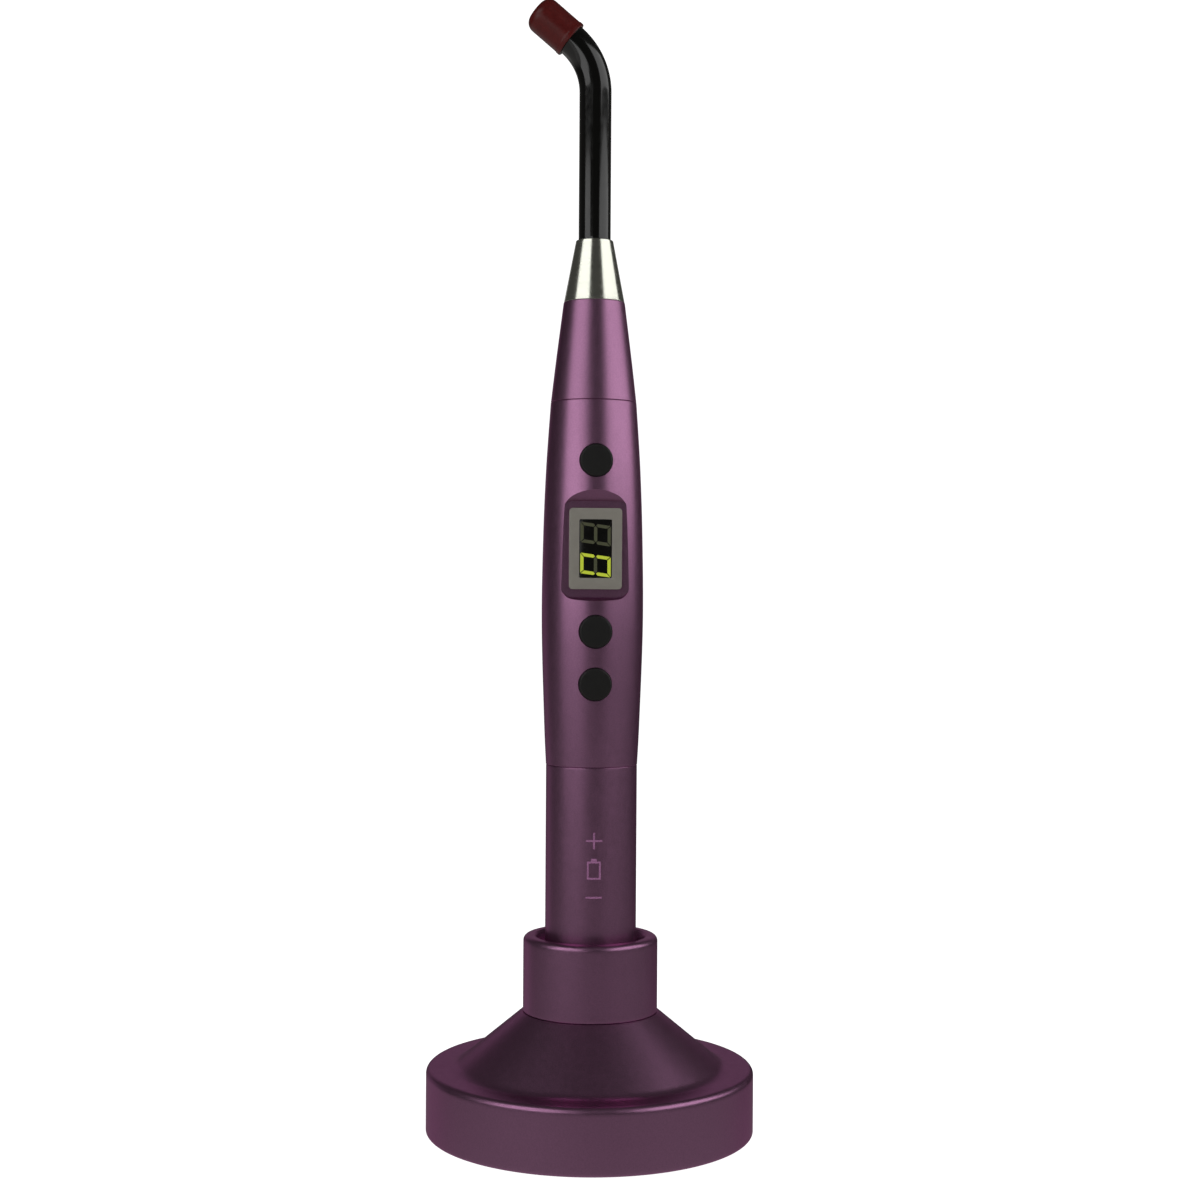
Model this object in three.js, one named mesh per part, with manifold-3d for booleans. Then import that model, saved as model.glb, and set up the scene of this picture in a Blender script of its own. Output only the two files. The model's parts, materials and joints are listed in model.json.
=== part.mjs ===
// A pen-style dental curing light standing in its round charging base.
// Millimetres, +Z up. Heights are above the table, and the origin is under the middle of the
// base. The buttons and the display face -Y, and the light guide bends towards -X.

import * as THREE from 'three';
import { mergeVertices } from 'three/addons/utils/BufferGeometryUtils.js';
import Module from 'manifold-3d';

const wasm = await Module();
wasm.setup();

// ---- Driving dimensions ---------------------------------------------------------------

const DEGREE = Math.PI / 180;
const GAP = 0.3;                // between two pieces that touch on the real object
const ROUND = 28;               // sides of the shells and large rings
const SMALL = 18;               // sides of small turned pieces
const TINY = 10;                // sides of pins, screws and screw holes
const PAST = 1;                 // how far a cutting tool runs past the face it cuts

const BASE_RADIUS = 40.6;
const BASE_WALL = 2.5;
const BASE_RIM = 0.3;           // the shell hangs this far above the table
const DISK_TOP = 16.1;
const CONE_FOOT_RADIUS = 33.4;
const COLLAR_RADIUS = 16.7;
const COLLAR_BORE = 14.0;
const COLLAR_TOP = 48.5;
const COLLAR_SEAM = 29.75;      // between the cone and the collar
const COLLAR_SEAT = 16.3;       // the collar's foot is set into a bore this wide
const THROAT_RADIUS = 12.5;     // of the funnel inside the collar's lip
const THROAT_TOP = 45.8;
const LINER_TOP = 44;
const SHOULDER = 27.5;          // inside the cone, where the socket's holder is held
const COVER_BOTTOM = 1.2;
const COVER_TOP = 3.2;
const BALLAST_TOP = 9.5;
const BOARD_BOTTOM = 10.4;      // the charging circuit board
const BOARD_TOP = 12.0;
const BOSS_CIRCLE = 34.5;
const BOSS_ANGLES = [-90, 30, 150];
const FOOT_CIRCLE = 29;
const FOOT_ANGLES = [45, 135, 225, 315];
const FOOT_RADIUS = 5;
const FOOT_HEIGHT = 1.7;
const JACK_HEIGHT = 7.15;       // the axis of the power inlet
const BOARD_SCREW_OFFSET = 12.1;
const SOCKET_BORE = 11.7;
const SOCKET_FLOOR = 21.2;
const RING_PIN_OFFSET = 5.1;    // the outer charging pin meets the ring contact

const TAIL = 21.5;              // the lower end of the handpiece, seated in the socket
const CONTACT_FACE = 22.0;
const BARREL_RADIUS = 11.31;
const BARREL_BORE = 9.6;
const LOWER_SEAM = 90.9;        // between the rear barrel and the body
const UPPER_SEAM = 180.8;       // between the body and the front shell
const NOSE_SEAM = 205.65;       // between the front shell and the nose
const BODY_BORE = 8.6;
const SPIGOT_RADIUS = 10.15;    // the threaded end of the body inside the rear barrel
const SPIGOT_END = 81.8;
const SEAL_HEIGHT = 87.3;
const FRONT_SPIGOT_RADIUS = 8.4;
const FRONT_SEAL_HEIGHT = 182.6;
const BATTERY_BOTTOM = 30;

const BOARD_FRONT = 3.8;        // the main board's front face, from the axis
const BUTTON_RADIUS = 4.0;
const BUTTONS = {               // height on the body, and the button face's distance from the axis
  start: { height: 165.8, face: 12.5 },
  time: { height: 124.1, face: 13.4 },
  mode: { height: 111.3, face: 13.1 },
};
const DISPLAY_HEIGHT = 144.3;
const FACET_DEPTH = 9.5;        // the milled flat around the display, from the axis
const FACET_BOTTOM = 132.4;
const FACET_TOP = 155.9;
const FACET_RAMP = 0.85;        // how much the pocket's upper wall rises for each millimetre of depth
const WINDOW = [7.9, 14.2];
const BEZEL = [12.9, 19.8];

const GUIDE_RADIUS = 4.0;
const CORE_RADIUS = 3.0;
const NOSE_BORE = 4.15;
const NOSE_TOP = 221.1;
const GUIDE_SEAL_HEIGHT = 210;
const BEND_START = 258;
const BEND_RADIUS = 17;
const BEND_ANGLE = 50 * DEGREE;
const TIP_LENGTH = 10.0;        // of the straight stretch past the bend
const CAP_LENGTH = 11.6;

// ---- Materials --------------------------------------------------------------------------

const finish = (color, roughness, metalness) =>
  new THREE.MeshStandardMaterial({ color, roughness, metalness });

const purple = finish(0x7a4a72, 0.4, 0.9);
const chrome = finish(0xd8d8dc, 0.08, 1.0);
const steel = finish(0x9a9c9f, 0.35, 1.0);
const gold = finish(0xc9a24a, 0.3, 1.0);
const aluminium = finish(0xb8babd, 0.4, 1.0);
const blackPlastic = finish(0x151517, 0.35, 0.0);
const greyPlastic = finish(0x8c8680, 0.4, 0.2);
const smoked = finish(0x0c0d0c, 0.08, 0.0);
const clear = finish(0xe8eef0, 0.05, 0.0);
const blackRubber = finish(0x101010, 0.7, 0.0);
const redSilicone = finish(0x571c1e, 0.5, 0.0);
const board = finish(0x1d5c38, 0.5, 0.0);
const chip = finish(0x1a1a1c, 0.5, 0.0);
const ceramic = finish(0xe9e4d2, 0.5, 0.0);
const cellWrap = finish(0x2b5f8f, 0.35, 0.0);

// ---- Geometry helpers ---------------------------------------------------------------------

/** The points of a soft corner: a curve from start to end that leans to the corner. */
function soften(start, corner, end, steps = 3) {
  const [from, control, to] = [start, corner, end].map(([x, y]) => new THREE.Vector2(x, y));
  const curve = new THREE.QuadraticBezierCurve(from, control, to);
  return curve.getPoints(steps).map((point) => [point.x, point.y]);
}

/** The points of a smooth line through a few [radius, height] points. */
function smoothLine(points, steps) {
  const curve = new THREE.SplineCurve(points.map(([x, y]) => new THREE.Vector2(x, y)));
  return curve.getPoints(steps).map((point) => [point.x, point.y]);
}

/**
 * A turned piece about +Z. Its profile of [radius, height] points runs anticlockwise, and
 * either starts and ends on the axis or is a ring that closes on itself.
 */
function turned(profile, sides = ROUND) {
  const points = profile.map(([radius, height]) => new THREE.Vector2(radius, height));
  if (profile[0][0] > 0) {
    points.push(points[0].clone());
  }
  return new THREE.LatheGeometry(points, sides).rotateX(Math.PI / 2);
}

/** A solid cylinder about +Z. */
function rod(radius, bottom, top, sides = SMALL) {
  return turned([[0, bottom], [radius, bottom], [radius, top], [0, top]], sides);
}

/** A plain tube about +Z. */
function tube(inner, outer, bottom, top, sides = SMALL) {
  return turned([[inner, bottom], [outer, bottom], [outer, top], [inner, top]], sides);
}

/** An O-ring about +Z. */
function seal(ringRadius, sectionRadius, height, sides = ROUND) {
  const sectionSides = 5;
  const profile = [];
  for (let i = 0; i < sectionSides; i += 1) {
    const angle = (i / sectionSides) * 2 * Math.PI;
    profile.push([
      ringRadius + sectionRadius * Math.cos(angle),
      height + sectionRadius * Math.sin(angle),
    ]);
  }
  return turned(profile, sides);
}

/** A box given by its lowest and highest corners. */
function block(low, high) {
  const size = high.map((value, axis) => value - low[axis]);
  const middle = high.map((value, axis) => (value + low[axis]) / 2);
  return new THREE.BoxGeometry(...size).translate(...middle);
}

/** A cylinder along Y, from the axis' -Y side, for holes in the front of the body. */
function frontDrill(radius, height, from, to) {
  const length = to - from;
  const drill = new THREE.CylinderGeometry(radius, radius, length, SMALL);
  return drill.translate(0, -(from + to) / 2, height);
}

/** A rectangle with round corners, centred on its origin. */
function roundedRectangle(width, height, corner, Kind = THREE.Shape) {
  const [x, y] = [width / 2, height / 2];
  const outline = new Kind();
  outline.absarc(x - corner, y - corner, corner, 0, Math.PI / 2);
  outline.absarc(corner - x, y - corner, corner, Math.PI / 2, Math.PI);
  outline.absarc(corner - x, corner - y, corner, Math.PI, 1.5 * Math.PI);
  outline.absarc(x - corner, corner - y, corner, 1.5 * Math.PI, 2 * Math.PI);
  outline.closePath();
  return outline;
}

/** A flat plate on the front of the body: its shape stands upright and faces -Y. */
function frontPlate(shape, height, back, front) {
  const plate = new THREE.ExtrudeGeometry(shape, {
    depth: front - back, bevelEnabled: false, curveSegments: 3,
  });
  return plate.rotateX(Math.PI / 2).translate(0, -back, height);
}

/** The geometry as a solid: shared vertices merged, and empty triangles on the axis dropped. */
function toSolid(geometry) {
  const bare = geometry.clone();
  bare.deleteAttribute('normal');
  bare.deleteAttribute('uv');
  const merged = mergeVertices(bare, 1e-4);
  const index = merged.index.array;
  const kept = [];
  for (let i = 0; i < index.length; i += 3) {
    const [a, b, c] = index.slice(i, i + 3);
    if (a !== b && b !== c && c !== a) {
      kept.push(a, b, c);
    }
  }
  return new wasm.Manifold(new wasm.Mesh({
    numProp: 3,
    vertProperties: new Float32Array(merged.attributes.position.array),
    triVerts: new Uint32Array(kept),
  }));
}

function toGeometry(solid) {
  const { vertProperties, triVerts } = solid.getMesh();
  const geometry = new THREE.BufferGeometry();
  geometry.setAttribute('position', new THREE.BufferAttribute(vertProperties, 3));
  geometry.setIndex(new THREE.BufferAttribute(triVerts, 1));
  geometry.computeVertexNormals();
  return geometry;
}

function cut(body, tools) {
  return toGeometry(tools.reduce((rest, tool) => rest.subtract(toSolid(tool)), toSolid(body)));
}

function join(pieces) {
  const [first, ...others] = pieces.map(toSolid);
  return toGeometry(others.reduce((whole, piece) => whole.add(piece), first));
}

/** The point on a circle about the Z axis, at an angle in degrees. */
function onCircle(radius, angle) {
  return [radius * Math.cos(angle * DEGREE), radius * Math.sin(angle * DEGREE)];
}

/** Adds one named piece to its group, at a place and turn of its own where it has them. */
function add(group, name, geometry, material, position = [0, 0, 0], rotation = [0, 0, 0]) {
  const mesh = new THREE.Mesh(geometry, material);
  mesh.name = name;
  mesh.position.set(...position);
  mesh.rotation.set(...rotation);
  group.add(mesh);
}

// ---- Charging base --------------------------------------------------------------------------

/** The turned disk and cone in one piece, hollow from below. */
function baseShell() {
  const innerWall = BASE_RADIUS - BASE_WALL;
  const underside = DISK_TOP - BASE_WALL;
  const shell = turned([
    [innerWall, BASE_RIM],
    [BASE_RADIUS - 0.5, BASE_RIM],
    [BASE_RADIUS, BASE_RIM + 0.5],
    ...soften([BASE_RADIUS, DISK_TOP - 1.6], [BASE_RADIUS, DISK_TOP], [BASE_RADIUS - 1.6, DISK_TOP]),
    ...soften([CONE_FOOT_RADIUS + 1.2, DISK_TOP], [CONE_FOOT_RADIUS, DISK_TOP],
      [CONE_FOOT_RADIUS - 0.9, DISK_TOP + 0.75], 2),
    [COLLAR_RADIUS + 0.3, COLLAR_SEAM - GAP / 2],
    [COLLAR_SEAT, COLLAR_SEAM - GAP / 2],
    [COLLAR_SEAT, SHOULDER],
    [COLLAR_BORE + 3.5, SHOULDER],
    [COLLAR_BORE + 3.5, SHOULDER - 1.5],
    [CONE_FOOT_RADIUS - 1.4, underside],
    [innerWall, underside],
  ]);
  const bosses = BOSS_ANGLES.map((angle) => {
    const boss = rod(3.2, COVER_TOP + GAP, underside + PAST, 12);
    return boss.translate(...onCircle(BOSS_CIRCLE, angle), 0);
  });
  const pilots = BOSS_ANGLES.map((angle) => {
    const pilot = rod(1.3, COVER_TOP, 11.5, TINY);
    return pilot.translate(...onCircle(BOSS_CIRCLE, angle), 0);
  });
  const inlet = new THREE.CylinderGeometry(2.7, 2.7, 8, SMALL);
  inlet.translate(0, BASE_RADIUS, JACK_HEIGHT);
  return cut(join([shell, ...bosses]), [...pilots, inlet]);
}

/** The upright tube around the socket: its foot is set into the cone, and its mouth is a funnel. */
function baseCollar() {
  return turned([
    [COLLAR_BORE, SHOULDER],
    [COLLAR_SEAT - GAP, SHOULDER],
    [COLLAR_SEAT - GAP, COLLAR_SEAM + GAP / 2],
    [COLLAR_RADIUS - 0.3, COLLAR_SEAM + GAP / 2],
    [COLLAR_RADIUS, COLLAR_SEAM + GAP / 2 + 0.3],
    ...soften([COLLAR_RADIUS, COLLAR_TOP - 1.5], [COLLAR_RADIUS, COLLAR_TOP],
      [COLLAR_RADIUS - 1.4, COLLAR_TOP]),
    [COLLAR_BORE, COLLAR_TOP],
    [COLLAR_BORE - 0.5, COLLAR_TOP - 0.5],
    [THROAT_RADIUS, THROAT_TOP],
    [THROAT_RADIUS, LINER_TOP + GAP],
    [COLLAR_BORE, LINER_TOP + GAP],
  ]);
}

/** The tube that the handpiece stands in. */
function socketLiner() {
  const outer = COLLAR_BORE - GAP;
  return turned([
    [SOCKET_BORE, SOCKET_FLOOR + GAP],
    [outer, SOCKET_FLOOR + GAP],
    [outer, LINER_TOP - 0.5],
    [outer - 0.5, LINER_TOP],
    [SOCKET_BORE + 0.8, LINER_TOP],
    [SOCKET_BORE, LINER_TOP - 1.5],
  ]);
}

/** The socket's floor, with a rim around the liner's foot and a skirt for the circuit board. */
function socketHolder() {
  const outer = COLLAR_BORE + 3;
  const underside = SOCKET_FLOOR - 1.2;
  const skirtRadius = COLLAR_BORE - GAP;
  const skirtBore = 10.5;
  const skirtEnd = BOARD_TOP + GAP;
  const holder = turned([
    [0, underside],
    [skirtBore, underside],
    [skirtBore, skirtEnd],
    [skirtRadius, skirtEnd],
    [skirtRadius, underside],
    [outer, underside],
    [outer, SHOULDER - GAP],
    [COLLAR_BORE, SHOULDER - GAP],
    [COLLAR_BORE, SOCKET_FLOOR],
    [0, SOCKET_FLOOR],
  ]);
  const pinHoles = [0, RING_PIN_OFFSET].map((x) => {
    return rod(1.9, underside - PAST, SOCKET_FLOOR + PAST, TINY).translate(x, 0, 0);
  });
  const screwHoles = [-BOARD_SCREW_OFFSET, BOARD_SCREW_OFFSET].map((x) => {
    return rod(1.1, skirtEnd - PAST, 18.5, TINY).translate(x, 0, 0);
  });
  return cut(holder, [...pinHoles, ...screwHoles]);
}

/** The bottom plate, with countersunk holes for its screws and pockets for the feet. */
function baseCover() {
  const plate = rod(BASE_RADIUS - BASE_WALL - GAP, COVER_BOTTOM, COVER_TOP, ROUND);
  const countersinks = BOSS_ANGLES.map((angle) => {
    const tool = turned([
      [0, COVER_BOTTOM - PAST],
      [2.7 + PAST, COVER_BOTTOM - PAST],
      [1.4, COVER_BOTTOM + 1.3],
      [1.4, COVER_TOP + PAST],
      [0, COVER_TOP + PAST],
    ], TINY);
    return tool.translate(...onCircle(BOSS_CIRCLE, angle), 0);
  });
  const pockets = FOOT_ANGLES.map((angle) => {
    const pocket = rod(FOOT_RADIUS + GAP, COVER_BOTTOM - PAST, FOOT_HEIGHT + GAP);
    return pocket.translate(...onCircle(FOOT_CIRCLE, angle), 0);
  });
  return cut(plate, [...countersinks, ...pockets]);
}

/** A heavy C-shaped ring that keeps the base steady, open where the inlet sits. */
function ballast() {
  const ring = tube(15, 30.8, COVER_TOP + GAP, BALLAST_TOP, ROUND);
  const notch = block([-4.5, 10, COVER_TOP], [4.5, BASE_RADIUS, BALLAST_TOP + PAST]);
  return cut(ring, [notch]);
}

function chargeBoard() {
  const plate = block([-14.5, -15, BOARD_BOTTOM], [14.5, 33, BOARD_TOP]);
  const holes = [-BOARD_SCREW_OFFSET, BOARD_SCREW_OFFSET].map((x) => {
    return rod(1.1, BOARD_BOTTOM - PAST, BOARD_TOP + PAST, TINY).translate(x, 0, 0);
  });
  return cut(plate, holes);
}

/** The power inlet: a block with a round bore from the rear, and a contact pin in the bore. */
function powerInlet() {
  const front = BASE_RADIUS - BASE_WALL - 2 * GAP;
  const housing = block([-3.6, front - 13, 4.2], [3.6, front, BOARD_BOTTOM - GAP]);
  const bore = tube(0.6, 1.9, 0, 10, TINY);
  bore.rotateX(-Math.PI / 2).translate(0, front - 9, JACK_HEIGHT);
  return cut(housing, [bore]);
}

function addBase(group) {
  add(group, 'base_shell', baseShell(), purple);
  add(group, 'base_collar', baseCollar(), purple);
  add(group, 'socket_liner', socketLiner(), blackPlastic);
  add(group, 'socket_holder', socketHolder(), blackPlastic);
  add(group, 'base_cover', baseCover(), blackPlastic);
  add(group, 'ballast_weight', ballast(), steel);
  add(group, 'charge_board', chargeBoard(), board);
  add(group, 'power_inlet', powerInlet(), blackPlastic);

  const foot = turned([
    [0, 0], [FOOT_RADIUS - 0.4, 0], [FOOT_RADIUS, 0.4], [FOOT_RADIUS, FOOT_HEIGHT], [0, FOOT_HEIGHT],
  ], 12);
  FOOT_ANGLES.forEach((angle, i) => {
    add(group, `foot_${i + 1}`, foot, blackRubber, [...onCircle(FOOT_CIRCLE, angle), 0]);
  });

  const coverScrew = turned([
    [0, 1.35], [2.2, 1.35], [1.0, 2.75], [1.0, 11], [0, 11],
  ], TINY);
  BOSS_ANGLES.forEach((angle, i) => {
    add(group, `cover_screw_${i + 1}`, coverScrew, steel, [...onCircle(BOSS_CIRCLE, angle), 0]);
  });

  const boardScrew = turned([
    [0, 8.7], [2.0, 8.7], [2.0, 10.1], [0.8, 10.1], [0.8, 18], [0, 18],
  ], TINY);
  add(group, 'board_screw_left', boardScrew, steel, [-BOARD_SCREW_OFFSET, 0, 0]);
  add(group, 'board_screw_right', boardScrew, steel, [BOARD_SCREW_OFFSET, 0, 0]);

  const sleeveBottom = BOARD_TOP + GAP;
  const sleeve = turned([
    [0, sleeveBottom], [1.6, sleeveBottom], [1.6, 20.8], [1.15, 20.8], [1.15, 13], [0, 13],
  ], TINY);
  const pinTip = CONTACT_FACE - GAP;
  const pin = turned([
    [0, 14.3], [0.85, 14.3], ...soften([0.85, pinTip - 0.8], [0.85, pinTip], [0, pinTip], 2),
  ], TINY);
  const pins = { centre: 0, ring: RING_PIN_OFFSET };
  for (const [name, x] of Object.entries(pins)) {
    add(group, `pin_sleeve_${name}`, sleeve, gold, [x, 0, 0]);
    add(group, `charge_pin_${name}`, pin, gold, [x, 0, 0]);
  }
}

// ---- Rear of the handpiece --------------------------------------------------------------------

function rearBarrel() {
  const top = LOWER_SEAM - GAP / 2;
  const lipBore = 7.5;
  const lipTop = TAIL + 1.6;
  const counterbore = SPIGOT_RADIUS + 0.2;
  return turned([
    [lipBore, TAIL],
    ...soften([BARREL_RADIUS - 0.7, TAIL], [BARREL_RADIUS, TAIL], [BARREL_RADIUS, TAIL + 0.7], 2),
    [BARREL_RADIUS, top - 0.25],
    [BARREL_RADIUS - 0.25, top],
    [counterbore, top],
    [counterbore, SPIGOT_END - 0.8],
    [BARREL_BORE, SPIGOT_END - 0.8],
    [BARREL_BORE, lipTop],
    [lipBore, lipTop],
  ]);
}

/** The insulating plug in the tail, with a groove that holds the ring contact. */
function tailPlug() {
  const bottom = TAIL + 0.4;
  const grooveTop = 23.3;
  return turned([
    [2.3, bottom], [3.7, bottom], [3.7, grooveTop], [6.5, grooveTop], [6.5, bottom],
    [7.2, bottom], [7.2, 23.4], [9.3, 23.4], [9.3, 25.2], [2.3, 25.2],
  ], SMALL);
}

function centreContact() {
  return turned([
    [0, CONTACT_FACE], [2, CONTACT_FACE], [2, 25.5], [3.4, 25.5], [3.4, 26.1], [0, 26.1],
  ], SMALL);
}

/** A cone-shaped coil spring that presses the cell forwards. */
class ConeSpiral extends THREE.Curve {
  constructor(turns, startRadius, endRadius, bottom, top) {
    super();
    Object.assign(this, { turns, startRadius, endRadius, bottom, top });
  }

  getPoint(t, target = new THREE.Vector3()) {
    const angle = t * this.turns * 2 * Math.PI;
    const radius = this.startRadius + t * (this.endRadius - this.startRadius);
    const height = this.bottom + t * (this.top - this.bottom);
    return target.set(radius * Math.cos(angle), radius * Math.sin(angle), height);
  }
}

function batterySpring() {
  const wireRadius = 0.35;
  const turns = 3;
  const stepsPerTurn = 10;
  const wire = new THREE.Shape().absarc(0, 0, wireRadius, 0, 2 * Math.PI);
  return new THREE.ExtrudeGeometry(wire, {
    steps: turns * stepsPerTurn,
    curveSegments: 3,
    extrudePath: new ConeSpiral(turns, 2.6, 6.6, 26.8, 29.3),
  });
}

function battery() {
  const radius = 9.1;
  const shoulder = BATTERY_BOTTOM + 48.8;
  return turned([
    [0, BATTERY_BOTTOM],
    [radius - 0.5, BATTERY_BOTTOM],
    [radius, BATTERY_BOTTOM + 0.5],
    [radius, shoulder - 0.5],
    [radius - 0.5, shoulder],
    [3.2, shoulder],
    [3.2, shoulder + 1.4],
    [0, shoulder + 1.4],
  ], ROUND);
}

function addRear(group) {
  add(group, 'rear_barrel', rearBarrel(), purple);
  add(group, 'tail_plug', tailPlug(), blackPlastic);
  add(group, 'tail_contact_centre', centreContact(), gold);
  add(group, 'tail_contact_ring', tube(4, 6.2, CONTACT_FACE, 23), gold);
  add(group, 'battery_spring', batterySpring(), steel);
  add(group, 'battery', battery(), cellWrap);
  add(group, 'thread_seal', seal(9.85, 0.4, SEAL_HEIGHT), blackRubber);
}

// ---- Shells of the handpiece --------------------------------------------------------------------

/** The milled pocket around the display: a flat floor, with walls that lean outwards. */
function facetTool() {
  const wall = 3;
  const floor = roundedRectangle(17, FACET_TOP - FACET_BOTTOM, 3);
  const tool = new THREE.ExtrudeGeometry(floor, {
    depth: 4, bevelThickness: wall, bevelSize: 0.8, bevelSegments: 1, curveSegments: 4,
  });
  const corners = tool.attributes.position;
  for (let i = 0; i < corners.count; i += 1) {
    if (corners.getY(i) > 0) {
      corners.setY(i, corners.getY(i) + FACET_RAMP * (corners.getZ(i) + wall));
    }
  }
  return tool.rotateX(Math.PI / 2).translate(0, -FACET_DEPTH - wall, (FACET_BOTTOM + FACET_TOP) / 2);
}

function bodyShell() {
  const bottom = LOWER_SEAM + GAP / 2;
  const top = UPPER_SEAM - GAP / 2;
  const grooveHalf = 0.7;
  const shell = turned([
    [BODY_BORE, SPIGOT_END],
    [SPIGOT_RADIUS - 0.3, SPIGOT_END],
    [SPIGOT_RADIUS, SPIGOT_END + 0.3],
    [SPIGOT_RADIUS, SEAL_HEIGHT - grooveHalf],
    [9.35, SEAL_HEIGHT - grooveHalf],
    [9.35, SEAL_HEIGHT + grooveHalf],
    [SPIGOT_RADIUS, SEAL_HEIGHT + grooveHalf],
    [SPIGOT_RADIUS, bottom],
    [BARREL_RADIUS - 0.25, bottom],
    ...smoothLine([
      [11.36, bottom + 0.25], [11.86, 101.6], [12.6, 125.5], [12.39, 146.4], [11.74, 164.3],
      [10.67, top - 0.25],
    ], 10),
    [10.4, top],
    [FRONT_SPIGOT_RADIUS, top],
    [FRONT_SPIGOT_RADIUS, FRONT_SEAL_HEIGHT - 0.6],
    [7.8, FRONT_SEAL_HEIGHT - 0.6],
    [7.8, FRONT_SEAL_HEIGHT + 0.6],
    [FRONT_SPIGOT_RADIUS, FRONT_SEAL_HEIGHT + 0.6],
    [FRONT_SPIGOT_RADIUS, 186.7],
    [FRONT_SPIGOT_RADIUS - 0.3, 187],
    [7, 187],
    [7, 176.5],
    [BODY_BORE, 174.9],
  ]);
  const buttonHoles = Object.values(BUTTONS).map(({ height }) => {
    return frontDrill(BUTTON_RADIUS + 0.2, height, 5, 15);
  });
  const displayOpening = block([-5.5, -15, DISPLAY_HEIGHT - 9], [5.5, -5, DISPLAY_HEIGHT + 9]);
  return cut(shell, [facetTool(), displayOpening, ...buttonHoles]);
}

function frontShell() {
  const bottom = UPPER_SEAM + GAP / 2;
  const top = NOSE_SEAM - GAP / 2;
  const socket = FRONT_SPIGOT_RADIUS + 0.2;
  return turned([
    [socket, bottom],
    [10.36, bottom],
    ...smoothLine([[10.6, bottom + 0.25], [9.44, 191.2], [7.66, top - 0.25]], 3),
    [7.4, top],
    [6.2, top],
    [6.2, 199.9],
    [6.9, 199.2],
    [6.9, 188],
    [socket, 187.3],
  ]);
}

function noseCone() {
  const bottom = NOSE_SEAM + GAP / 2;
  return turned([
    [NOSE_BORE, 199.9],
    [5.9, 199.9],
    [5.9, bottom],
    [7.3, bottom],
    [7.53, bottom + 0.25],
    ...soften([4.78, NOSE_TOP - 0.9], [4.65, NOSE_TOP], [4.35, NOSE_TOP], 3),
    [NOSE_BORE, NOSE_TOP - 0.15],
  ]);
}

// ---- Inside of the handpiece ----------------------------------------------------------------------

/** A half-round plastic channel along the body that holds the main board from behind. */
function boardCarrier() {
  const edge = -1.9;
  const [outer, inner] = [8.3, 7.1];
  const outerStart = Math.asin(edge / outer);
  const innerStart = Math.asin(edge / inner);
  const section = new THREE.Shape();
  section.absarc(0, 0, outer, outerStart, Math.PI - outerStart, false);
  section.absarc(0, 0, inner, Math.PI - innerStart, innerStart, true);
  section.closePath();
  const channel = new THREE.ExtrudeGeometry(section, {
    depth: 84, bevelEnabled: false, curveSegments: 9,
  });
  return channel.translate(0, 0, 90);
}

function displayBezel() {
  const frame = roundedRectangle(...BEZEL, 1.6);
  frame.holes.push(roundedRectangle(WINDOW[0] + 0.4, WINDOW[1] + 0.4, 0.8, THREE.Path));
  return frontPlate(frame, DISPLAY_HEIGHT, FACET_DEPTH + GAP, 10.6);
}

function ledEmitter() {
  const dome = new THREE.EllipseCurve(0, 198.8, 1.5, 1, 0, Math.PI / 2).getPoints(3);
  return turned([[0, 198], [2, 198], [2, 198.8], ...dome.map(({ x, y }) => [x, y])], TINY);
}

function addHandpiece(group) {
  add(group, 'body_shell', bodyShell(), purple);
  add(group, 'front_shell', frontShell(), purple);
  add(group, 'nose_cone', noseCone(), chrome);
  add(group, 'front_seal', seal(8.16, 0.3, FRONT_SEAL_HEIGHT), blackRubber);

  add(group, 'led_heatsink', rod(6.6, 188.6, 196.4), aluminium);
  add(group, 'led_board', rod(6.4, 196.7, 197.7), board);
  add(group, 'led_emitter', ledEmitter(), ceramic);
  add(group, 'collimator_lens', turned([
    [0, 200.2], [2.2, 200.2], [4, 203.8], [4, 204.9], [0, 204.9],
  ], SMALL), clear);

  add(group, 'main_board', block([-7.2, -BOARD_FRONT, 92], [7.2, -2.2, 172]), board);
  add(group, 'board_carrier', boardCarrier(), blackPlastic);
  add(group, 'control_chip', block([-3.5, -1.9, 114], [3.5, -0.7, 121]), chip);
  add(group, 'buzzer', new THREE.CylinderGeometry(4, 4, 3, SMALL), blackPlastic, [0, -0.4, 160]);
  add(group, 'contact_carrier', tube(1.8, 8.3, 82.2, 84.4), blackPlastic);
  add(group, 'contact_pin', rod(1.5, 80.5, 86, TINY), gold);

  add(group, 'display_module', block(
    [-4.75, -9.2, DISPLAY_HEIGHT - 8],
    [4.75, -BOARD_FRONT - GAP, DISPLAY_HEIGHT + 8],
  ), chip);
  add(group, 'display_bezel', displayBezel(), greyPlastic);
  add(group, 'display_window', frontPlate(
    roundedRectangle(...WINDOW, 0.6), DISPLAY_HEIGHT, FACET_DEPTH, 10.4,
  ), smoked);

  for (const [name, { height, face }] of Object.entries(BUTTONS)) {
    const switchBody = block([-2.25, -5.1, -2.25], [2.25, -BOARD_FRONT - GAP, 2.25]);
    add(group, `${name}_switch`, switchBody, chip, [0, 0, height]);
    const button = turned([
      [0, 5.9], [4.7, 5.9], [4.7, 6.7], [BUTTON_RADIUS, 6.7],
      ...soften([BUTTON_RADIUS, face - 0.6], [BUTTON_RADIUS, face], [BUTTON_RADIUS - 0.8, face], 2),
      [0, face + 0.15],
    ], SMALL);
    add(group, `${name}_button`, button, blackPlastic, [0, 0, height], [Math.PI / 2, 0, 0]);
  }
}

// ---- Light guide ----------------------------------------------------------------------------------

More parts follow.
